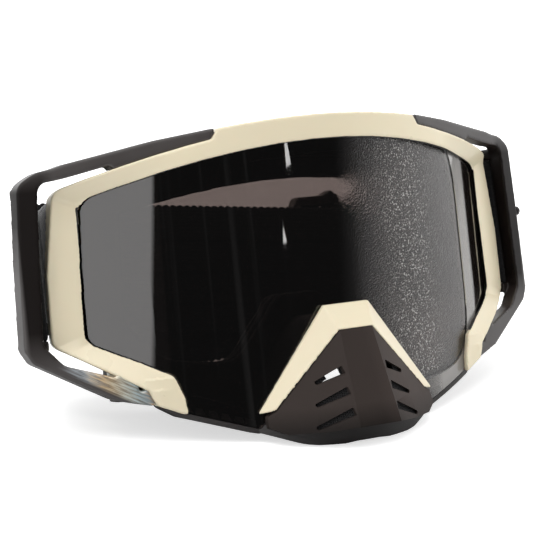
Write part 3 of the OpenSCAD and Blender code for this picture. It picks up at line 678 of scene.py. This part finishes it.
# ---------- the operators ----------
class GOGGLES_OT_stage(bpy.types.Operator):
    """Floor, studio light and camera"""

    bl_idname = "goggles.stage"
    bl_label = "Stage"

    # each lamp's name, place, width and height, and power
    LAMPS = (("lamp_top", (-0.3, -0.15, 1.3), (1.6, 1.2), 16.0),
             ("lamp_left", (-1.2, -0.8, 0.5), (0.9, 1.0), 0.8),
             ("lamp_right", (1.35, -0.35, 0.6), (0.8, 1.0), 6.0))
    # grey of the mirrored walls by direction: 0 in front, 90 to the right, -90 to the left
    WALLS = ((-180, 1.0), (-90, 1.0), (-50.6, 0.97), (-49.9, 0.025), (22, 0.025), (31, 0.1),
             (44, 0.42), (60, 0.5), (75, 0.7), (95, 1.0), (180, 1.0))
    # small mirrored lights: direction, height, half width in degrees, and half height
    GLINTS = ((13.5, 0.270, 0.6, 0.011), (15.3, 0.2815, 0.25, 0.005), (8.35, 0.222, 0.45, 0.0045))
    # from the middle of the goggles to the point that the camera looks at
    AIM = (-21.37 * MM, -19.26 * MM, 1.98 * MM)

    def execute(self, context):
        s = getattr(context.scene, STAGE)
        scene = context.scene
        scene.view_settings.view_transform = "Standard"
        lo, hi = CAD_BOX
        middle = (lo + hi) / 2

        back = Vector((math.sin(s.azimuth) * math.cos(s.elevation),
                       -math.cos(s.azimuth) * math.cos(s.elevation), math.sin(s.elevation)))
        camera_data = bpy.data.cameras.new("camera")
        camera_data.lens = s.lens
        camera_data.sensor_width = 36
        camera_data.clip_start = 0.01
        camera_data.clip_end = 100
        camera = bpy.data.objects.new("camera", camera_data)
        scene.collection.objects.link(camera)
        camera.location = middle + Vector(self.AIM) + back * s.distance
        camera.rotation_euler = (-back).to_track_quat("-Z", "Y").to_euler()
        scene.camera = camera

        corners = [(x * s.floor, y * s.floor, 0) for x, y in ((-1, -1), (1, -1), (1, 1), (-1, 1))]
        new_piece("floor", corners, [(0, 1, 2, 3)], self.floor_material(), smooth=False)
        self.world(scene)
        for name, spot, size, power in self.LAMPS:
            data = bpy.data.lights.new(name, "AREA")
            data.shape = "RECTANGLE"
            data.size, data.size_y = size
            data.energy = power
            lamp = bpy.data.objects.new(name, data)
            lamp.location = spot
            lamp.rotation_euler = (Vector(spot) - middle).to_track_quat("Z", "Y").to_euler()
            lamp.visible_glossy = False
            scene.collection.objects.link(lamp)
        return {"FINISHED"}

    @staticmethod
    def floor_material():
        """Matt white that glows where it is looked at, and most away from the goggles."""
        s = Shader("floor_white", (0.82, 0.82, 0.82), 0.9, Specular_IOR_Level=0.1)
        path = s.node("ShaderNodeLightPath").outputs
        seen = s.math("MAXIMUM", path["Is Camera Ray"], path["Is Transmission Ray"])
        reach = s.node("ShaderNodeVectorMath", operation="LENGTH")
        s.link(s.where, reach.inputs[0])
        fade = s.spread(reach.outputs["Value"], 0.25, 1.1, 0.62, 1.0)
        glow = s.node("ShaderNodeEmission")
        s.link(s.product(seen, fade), glow.inputs["Strength"])
        both = s.node("ShaderNodeAddShader")
        s.link(s.surface.outputs[0], both.inputs[0])
        s.link(glow.outputs[0], both.inputs[1])
        s.link(both.outputs[0], s.nodes["Material Output"].inputs["Surface"])
        return s.material

    def world(self, scene):
        """White where the camera looks, soft fill for diffuse light, and a dark front wall for gloss."""
        world = bpy.data.worlds.new("studio")
        world.use_nodes = True
        scene.world = world
        t = Tree(world.node_tree)
        path = t.node("ShaderNodeLightPath").outputs
        x, y, z = t.axes(t.node("ShaderNodeTexCoord").outputs["Generated"])

        # direction round the goggles, in degrees; the edges of the side walls lean with height
        around = t.product(t.math("ARCTAN2", x, t.product(y, -1.0)), 180 / math.pi)
        turn = t.math("MULTIPLY_ADD", z, -50.0, around)
        greys = [((angle + 180) / 360, (level, level, level)) for angle, level in self.WALLS]
        walls = t.product(t.ramp(t.math("MULTIPLY_ADD", turn, 1 / 360, 0.5), greys), 1.75)

        # faint upright streaks and the glints show only in the lens
        drapes = t.noise(t.plane(t.product(around, 0.22), t.product(z, 1.2)), 1.0, 2.0)
        streak = t.product(t.math("MAXIMUM", t.math("SUBTRACT", drapes, 0.54), 0.0), 0.7)
        walls = t.math("MAXIMUM", walls, streak)
        for turned, raised, wide, high in self.GLINTS:
            above = t.math("SUBTRACT", z, raised)
            taper = t.product(above, 0.7 * wide / high)
            aside = t.math("ADD", t.math("ABSOLUTE", t.math("SUBTRACT", around, turned)), taper)
            small = t.product(t.math("LESS_THAN", aside, wide),
                              t.math("LESS_THAN", t.math("ABSOLUTE", above), high))
            walls = t.math("MAXIMUM", walls, t.product(small, 6.0))
        mirror = t.math("MAXIMUM", walls, t.product(t.math("GREATER_THAN", z, 0.75), 0.9))

        # light that the inner face of the lens throws back belongs to the mirrored room
        bounced = t.math("GREATER_THAN", path["Glossy Depth"], 0.5)
        through = path["Is Transmission Ray"]
        seen = t.math("MAXIMUM", path["Is Camera Ray"], t.product(through, t.math("SUBTRACT", 1.0, bounced)))
        glossy = t.math("MAXIMUM", path["Is Glossy Ray"], t.product(through, bounced))
        fill = 0.47
        level = t.math("ADD", t.product(mirror, glossy),
                       t.product(t.math("SUBTRACT", 1.0, glossy), fill))
        background = t.nodes["Background"]
        t.link(t.math("MAXIMUM", seen, level), background.inputs["Strength"])
        background.inputs["Color"].default_value = (1, 1, 1, 1)


class GOGGLES_OT_shell(bpy.types.Operator):
    """Frame, gasket, bezel and nose trim"""

    bl_idname = "goggles.shell"
    bl_label = "Frame and bezel"

    def execute(self, context):
        f, z = getattr(context.scene, FINISH), getattr(context.scene, SIZES)
        rubber = moulded("frame_rubber_finish", f.rubber, 0.5, 1400, 0.00004)
        gasket = moulded("gasket_finish", shade(f.rubber, 0.6), 0.62, 2500, 0.00002)
        cream = self.cream("bezel_cream_finish", f.bezel)
        trim = self.cream("trim_cream_finish", f.bezel)
        self.paint_lip(cream, shade(f.rubber, 0.4))
        finish_node("main_frame", rubber.material)
        finish_node("lens_gasket", gasket.material)
        axis = wrap_axis("lens")
        # radius of a cylinder just clear of the lens, on which the bezel's faces come down
        plate = axis - upright_box("lens")[0][1] + 0.2

        def tilted(points, mesh):
            """Turns the bezel's side faces flatter, and marks the dark lip round the lens and the painted
            highlight beside the lens.
            """
            x, z = points[:, 0], points[:, 2]
            across, side = np.abs(x), np.sign(x)
            around = np.hypot(x, points[:, 1] - axis)
            outside, inside = beyond(points, OPENING), -beyond(points, OUTLINE)
            # share of the way from the opening to the outer edge
            share = np.clip(outside / np.maximum(outside + inside, 0.1), 0, 1)
            grow = 1 + between(across, 50, 74) * (0.26 + 1.4 * share - 1)
            raised = np.where(around > plate, plate + (around - plate) * grow, around)
            moved = points.copy()
            moved[:, 0] *= raised / around
            moved[:, 1] = axis + (points[:, 1] - axis) * raised / around
            # the opening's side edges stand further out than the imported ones
            moved[:, 0] += 1.3 * side * between(across, 64, 74) * (1 - share)
            normals = upright(vertex_rows(mesh, "normal")) - upright(np.zeros((1, 3)))
            facing = (normals[:, 0] * x + normals[:, 1] * (points[:, 1] - axis)) / around * MM
            # the side walls of the opening are drawn true to their line
            line = np.interp(z, (42.2, 64.2, 92.0), (77.4, 76.8, 75.5))
            wave = np.where(np.abs(across - line) < 0.9, across - line, 0)
            wave *= between(z, 47, 51) * between(z, 88, 84) * np.clip(2.2 - 2 * np.abs(facing), 0, 1)
            moved[:, 0] -= side * wave
            # above 0 on the wall of the opening, and on its last 0.3 mm beside the lens, where the painted
            # highlight goes
            wall = np.minimum(np.minimum((0.5 - facing) * 4, 2.0 - outside), z - 30.5)
            rim = np.minimum(wall, (0.3 - (raised - plate)) * 3)
            for label, value in (("lip", wall), ("rim", rim)):
                mark = mesh.attributes.new(label, "FLOAT", "POINT")
                mark.data.foreach_set("value", value.astype(np.float32))
            return moved

        moulded_shell("front_bezel", "bezel_shell", cream.material,
                      z.shell_voxel * 0.74, 13, tilted)
        moulded_shell("nose_trim", "nose_trim_shell", trim.material,
                      z.shell_voxel * 0.6, 8)
        return {"FINISHED"}

    @staticmethod
    def cream(name, colour):
        """Pale satin plastic, a little translucent."""
        s = Shader(name, colour, 0.3, Coat_Weight=0.2, Coat_Roughness=0.1,
                   Subsurface_Weight=0.05, Subsurface_Scale=0.002)
        s.tint(s.grain(14), (0.3, shade(colour, 0.97)), (0.7, shade(colour, 1.02)))
        s.rough(s.grain(45, 4), 0.25, 0.36)
        s.bump(s.grain(220, 2), 0.00001)
        return s

    @staticmethod
    def paint_lip(s, colour):
        """Darkens the wall of the opening, down to a paler line beside the lens, which is a painted
        highlight.
        """
        # the rim's pale grey is a painted highlight along the wall's edge beside the lens
        for label, tone in (("lip", colour), ("rim", (0.2, 0.19, 0.19))):
            mark = s.node("ShaderNodeAttribute", attribute_name=label)
            marked = s.math("GREATER_THAN", mark.outputs["Fac"], 0.0)
            under = s.surface.inputs["Base Color"].links[0].from_socket
            s.drive("Base Color", s.mix(marked, under, tone))


class GOGGLES_OT_lens(bpy.types.Operator):
    """Smoke lens"""

    bl_idname = "goggles.lens"
    bl_label = "Lens"

    def execute(self, context):
        f = getattr(context.scene, FINISH)
        s = Shader("smoke_lens_finish", f.lens, 0.02, IOR=1.8, Transmission_Weight=1.0)
        across, height = s.upright_axes()
        # 1 along the edge of the clear window, a squarish oval, and less inside it
        wide = s.math("DIVIDE", s.math("ABSOLUTE", across), 58.5 * MM)
        rise = s.math("DIVIDE", s.math("ABSOLUTE", s.math("SUBTRACT", height, 60 * MM)), 43 * MM)
        window = s.math("ADD", s.math("POWER", wide, 5.0), s.math("POWER", rise, 5.0))

        # the frosted grains of a printed pattern, on the right of the window, catch the light
        inside = s.product(s.spread(window, 0.8, 1.0, 1, 0), s.spread(across, 2 * MM, 20 * MM, 0, 1))
        grains = s.grain(1800, 1)
        s.bump(s.product(grains, inside), 0.00016)
        fleck = s.product(s.spread(grains, 0.58, 0.65, 0, 1), inside,
                          s.product(s.spread(across, 10 * MM, 26 * MM, 0.15, 1),
                                    s.spread(across, 36 * MM, 48 * MM, 1, 0.2)))
        # the clear border beside the pattern looks hazier than the window
        haze = s.product(s.spread(window, 1.0, 1.02, 0, 0.75), s.spread(across, 30 * MM, 40 * MM, 0, 1),
                         s.spread(across, 64 * MM, 67 * MM, 1, 0.1))
        frost = s.math("MAXIMUM", fleck, haze)
        s.drive("Transmission Weight", s.math("MULTIPLY_ADD", frost, -0.6, 1.0))
        s.tint(frost, (0.0, f.lens), (1.0, (0.6, 0.58, 0.55)))

        rim = s.math("ABSOLUTE", s.math("SUBTRACT", window, 1.0))
        groove = s.product(s.spread(rim, 0.0, 0.05, 1, 0), s.spread(across, 10 * MM, 20 * MM, 0, 1))
        s.bump(groove, 0.0005)
        finish_node("lens", s.material)
        return {"FINISHED"}


class GOGGLES_OT_outriggers(bpy.types.Operator):
    """Outriggers with their screws, pins and stud"""

    bl_idname = "goggles.outriggers"
    bl_label = "Outriggers"

    def execute(self, context):
        f, z = getattr(context.scene, FINISH), getattr(context.scene, SIZES)
        dark = self.arm_finish(f.outrigger)
        steel = moulded("screw_steel_finish", (0.25, 0.25, 0.26), 0.35, 900, 0.00001, Metallic=1.0)
        pin = moulded("pin_steel_finish", (0.55, 0.55, 0.56), 0.3, 900, 0.00001, Metallic=1.0)
        stud = moulded("stud_black_finish", (0.05, 0.045, 0.045), 0.4, 900, 0.00001)

        def cornered(points, mesh):
            """Fills out the upper corner where the arm turns down into the bar."""
            near = np.exp(-((np.abs(points[:, 0]) - 89) / 5) ** 2)
            moved = points.copy()
            moved[:, 2] += 1.5 * near * between(points[:, 2], 89, 96)
            return moved

        for side in ("left", "right"):
            moulded_shell(side + "_outrigger", side + "_strap_arm", dark.material,
                          z.shell_voxel * 0.76, 7, cornered)
        finish_node("outrigger_screws", steel.material, 0.0001)
        finish_node("left_strap_pin", pin.material)
        finish_node("right_strap_pin", pin.material)
        finish_node("strap_stud", stud.material)
        return {"FINISHED"}

    @staticmethod
    def arm_finish(colour):
        """Satin arms, with painted shade on the upright bars and a painted iridescent highlight low on the
        left.
        """
        s = Shader("outrigger_black_finish", colour, 0.34)
        across, height = s.upright_axes()
        wide = s.math("ABSOLUTE", across)
        from_middle = s.math("ABSOLUTE", s.math("SUBTRACT", height, 69 * MM))
        # painted shade: the upright bars are darkened to a third and lose most of their gloss
        shaded_bars = s.product(s.spread(wide, 83 * MM, 87 * MM, 0, 1), s.spread(wide, 94.5 * MM, 95.5 * MM, 1, 0),
                        s.spread(from_middle, 22 * MM, 34 * MM, 1, 0))
        satin = s.tint(s.grain(40, 4), (0.3, shade(colour, 0.85)), (0.7, shade(colour, 1.15)))
        dark = s.mix(shaded_bars, satin, shade(colour, 0.3))
        s.drive("Specular IOR Level", s.spread(shaded_bars, 0, 1, 0.8, 0.1))
        s.rough(s.grain(70, 4), 0.3, 0.42)
        s.bump(s.grain(900, 2), 0.00001)

        # the painted highlight, standing in for the arm's iridescent shine: metallic streaks that run along
        # the lower left arm, which rises 0.53 in 0.85
        along = s.math("MULTIPLY_ADD", wide, 0.85, s.product(height, 0.53))
        beside = s.math("MULTIPLY_ADD", height, 0.85, s.product(wide, -0.53))
        above = s.math("SUBTRACT", height, s.math("MULTIPLY_ADD", wide, 0.63, -21.9 * MM))
        place = s.product(s.spread(across, -88 * MM, -79 * MM, 0, 1),
                          s.spread(across, -63 * MM, -57 * MM, 1, 0),
                          s.spread(height, 36 * MM, 39 * MM, 1, 0),
                          s.spread(above, 1.2 * MM, 2.6 * MM, 0, 1))
        streaks = s.noise(s.plane(beside, s.product(along, 0.09)), 1900, 4)
        painted_highlight = s.product(place, s.spread(streaks, 0.3, 0.62, 0.12, 0.8))
        # its colours go from gold to pale blue and back
        run = s.spread(s.math("MULTIPLY_ADD", streaks, 14 * MM, across), -80 * MM, -50 * MM, 0, 1)
        hues = s.ramp(run, ((0.0, (0.3, 0.29, 0.3)), (0.2, (0.6, 0.66, 0.7)), (0.42, (0.85, 0.62, 0.36)),
                            (0.6, (0.8, 0.8, 0.68)), (0.75, (0.5, 0.62, 0.66)), (0.9, (0.6, 0.4, 0.24)),
                            (1.0, (0.3, 0.26, 0.24))))
        s.drive("Base Color", s.mix(painted_highlight, dark, hues))
        s.drive("Metallic", painted_highlight)
        return s


class GOGGLES_OT_guard(bpy.types.Operator):
    """Nose guard"""

    bl_idname = "goggles.guard"
    bl_label = "Nose guard"

    def execute(self, context):
        f, z = getattr(context.scene, FINISH), getattr(context.scene, SIZES)
        brown = moulded("guard_brown_finish", f.guard, 0.5, 1700, 0.00003, Specular_IOR_Level=0.1)
        # painted shade, darker at the foot, and painted light, paler on the right, in place of the flow
        # marks
        across, height = brown.upright_axes()
        low = brown.spread(height, 8 * MM, 15 * MM, 0.35, 1)
        painted_right_light = brown.spread(across, 2 * MM, 12 * MM, 0.0, 0.5)
        brown.tint(brown.product(brown.math("ADD", low, painted_right_light), 0.6), (0.0, (0, 0, 0)),
                   (1.0, shade(f.guard, 1.6)))
        finish_node("nose_guard", brown.material, z.edge_round * 0.7, 18)
        self.screens(self.mesh_finish(shade(f.foam, 0.9)))
        return {"FINISHED"}

    @staticmethod
    def mesh_finish(colour):
        """Dark woven mesh, a thread every 0.6 mm each way."""
        s = Shader("guard_screen_finish", colour, 0.8, Specular_IOR_Level=0.3)
        x, _, z = s.axes(s.where)
        weave = s.product(s.wave(x, 0.6 * MM), s.wave(z, 0.6 * MM))
        s.tint(weave, (0.1, shade(colour, 1.6)), (0.8, shade(colour, 0.3)))
        s.bump(weave, 0.0002)
        return s.material

    @staticmethod
    def screens(material):
        """Screens let into the guard's slots, 1.4 mm behind the facets; the top ones are half open."""
        # height of the top slot, step from slot to slot, and half width of the guard's ridge
        top = upright_box("nose_guard")[0][2] + 19.95
        pitch, ridge = 6.5, 7.0
        verts, faces = [], []
        for side in (-1, 1):
            for k in range(3):
                high, outer = top - pitch * k, ridge + 9.4 + 1.3 * k
                inner = ridge + (5.2 if k == 0 else 0.2)
                outline = ((inner, high - (3.8 if k == 0 else 3.0)),
                           (outer - 0.9, high - 5.7 - 0.4 * k),
                           (outer + 0.4, high - 4.1 - 0.4 * k),
                           (inner + (1.4 if k == 0 else 0.3), high + 0.3))
                start = len(verts)
                for depth in (1.4, 1.7):
                    # the facet's own slope, back from the ridge and up from the slots
                    verts += [(side * x, -18.4 + 0.71 * (x - ridge) + 0.358 * (h - 15.7) + depth, h)
                              for x, h in outline]
                front, back = [start + n for n in range(4)], [start + 4 + n for n in range(4)]
                faces += [front, back[::-1]]
                faces += [(front[n], back[n], back[(n + 1) % 4], front[(n + 1) % 4]) for n in range(4)]
        piece = new_piece("guard_screens", leaned(verts), faces, material, smooth=False)
        edited(piece.data, face_outward)
        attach(piece, "nose_guard")


class GOGGLES_OT_foams(bpy.types.Operator):
    """Face foam, fleece and the filter foams over the breathing slots"""

    bl_idname = "goggles.foams"
    bl_label = "Foams"

    def execute(self, context):
        f, z = getattr(context.scene, FINISH), getattr(context.scene, SIZES)
        firm = fabric("foam_dark_finish", f.foam, 0.95, 1900, 0.00018)
        soft = fabric("foam_grey_finish", f.soft_foam, 0.95, 1500, 0.00022)
        nap = fabric("fleece_black_finish", f.fleece, 1.0, 2600, 0.00025, sheen=0.9)
        soft_layer("foam_base", "face_foam_firm", firm.material,
                   z.foam_voxel, z.foam_swell)
        soft_layer("foam_middle", "face_foam_soft", soft.material,
                   z.foam_voxel, z.foam_swell)
        soft_layer("fleece_lining", "face_fleece", nap.material,
                   z.foam_voxel * 0.8, z.foam_swell)
        for node in ("top_vent_foam", "left_vent_foam", "right_vent_foam"):
            soft_layer(node, node.replace("foam", "filter"), firm.material,
                       z.foam_voxel * 0.55, z.foam_swell * 0.4)
        return {"FINISHED"}


class GOGGLES_OT_strap(bpy.types.Operator):
    """Woven strap, its grip beads and the adjuster"""

    bl_idname = "goggles.strap"
    bl_label = "Strap"

    def execute(self, context):
        f, z = getattr(context.scene, FINISH), getattr(context.scene, SIZES)
        webbing = self.webbing(f, z)
        bead = moulded("bead_silicone_finish", f.bead, 0.25, 900, 0.00001)
        slider = moulded("adjuster_black_finish", f.outrigger, 0.4, 900, 0.00002)
        thread = moulded("thread_finish", f.thread, 0.6, 3000, 0.00003)
        finish_node("grip_beads", bead.material)
        lo, hi = upright_box("strap_adjuster")

        def waved(points, mesh):
            """A wavy, rounded upper rail, as on a moulded slider."""
            places = lo[0] + np.array((0, 1.2, 2.6, 7.6, 11.6, 15.9, 18.6, 19.5))
            rise = np.interp(points[:, 0], places, (-3.2, 0.5, 1.0, 0.3, -0.3, 1.1, -1.4, -4.0))
            under_top = points[:, 2] - hi[2]
            moved = points.copy()
            moved[:, 2] += rise * between(under_top, -3.8, -0.4)
            moved[:, 2] -= 1.2 * np.clip(1 - np.abs(under_top + 3.6) / 0.8, 0, 1)
            return moved

        moulded_shell("strap_adjuster", "strap_slider", slider.material,
                      z.shell_voxel * 0.84, 4, waved)

        width, thickness = z.strap_width / MM, z.strap_thickness / MM
        # six points to each loop of the edge
        route = resampled(strap_route(thickness, width), z.scallop / MM / 6)
        strap, length = ribbon_mesh("elastic_strap", route, width + 0.4, thickness, z.scallop / MM,
                                    z.scallop_depth / MM, webbing)
        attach(strap, "goggles")
        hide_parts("strap")

        # two upright rows of stitches hold each end's doubled tail
        pin_lo, pin_hi = upright_box("right_strap_pin")
        pin = (pin_lo + pin_hi) / 2
        mid = route[0][2]
        paths = []
        for side in (-1, 1):
            for back, out in ((5.2, 0.8), (7.4, 0.3)):
                x = side * (pin[0] + thickness / 2 + out)
                paths.append([(x, pin[1] + back, mid + k) for k in (-width / 2 + 2, width / 2 - 2)])
        stitched("strap_stitches", paths, thread.material, "goggles", "strap_webbing",
                 Pitch=3 * MM, Length=2.2 * MM, Thread=0.25 * MM)
        return {"FINISHED"}

    @staticmethod
    def webbing(f, z):
        """Elastic webbing: ribs across the strap, picks along it, and a dull nap."""
        s = Shader("strap_webbing_finish", f.webbing, 0.85, Sheen_Weight=0.12, Sheen_Roughness=0.5,
                   Specular_IOR_Level=0.2)
        along, across, _ = s.axes(s.node("ShaderNodeTexCoord").outputs["UV"])
        weave = s.math("MULTIPLY_ADD", s.wave(along, z.rib * 0.7), 0.35, s.wave(across, z.rib))
        s.tint(weave, (0.2, shade(f.webbing, 0.8)), (0.9, shade(f.webbing, 1.3)))
        s.bump(weave, 0.0001)
        s.bump(s.grain(2600), 0.00006)
        return s.material


class GOGGLES_PT_parts(bpy.types.Panel):
    """Buttons for the pieces of the goggles"""

    bl_idname = "GOGGLES_PT_parts"
    bl_label = "Riding goggles"
    bl_space_type = "VIEW_3D"
    bl_region_type = "UI"
    bl_category = "Goggles"

    def draw(self, context):
        for group in (FINISH, SIZES, STAGE):
            settings = getattr(context.scene, group)
            box = self.layout.box()
            for key in settings.__annotations__:
                box.prop(settings, key)
        for operator in OPERATORS:
            self.layout.operator(operator.bl_idname)


GROUPS = ((FinishSettings, FINISH), (SizeSettings, SIZES), (StageSettings, STAGE))
OPERATORS = (GOGGLES_OT_stage, GOGGLES_OT_shell, GOGGLES_OT_lens, GOGGLES_OT_outriggers,
             GOGGLES_OT_guard, GOGGLES_OT_foams, GOGGLES_OT_strap)


def register():
    for group, name in GROUPS:
        bpy.utils.register_class(group)
        setattr(bpy.types.Scene, name, bpy.props.PointerProperty(type=group))
    for operator in OPERATORS:
        bpy.utils.register_class(operator)
    bpy.utils.register_class(GOGGLES_PT_parts)


def unregister():
    bpy.utils.unregister_class(GOGGLES_PT_parts)
    for operator in reversed(OPERATORS):
        bpy.utils.unregister_class(operator)
    for group, name in reversed(GROUPS):
        delattr(bpy.types.Scene, name)
        bpy.utils.unregister_class(group)


def main():
    register()
    for operator in OPERATORS:
        family, action = operator.bl_idname.split(".")
        getattr(getattr(bpy.ops, family), action)()


if __name__ == "__main__":
    main()
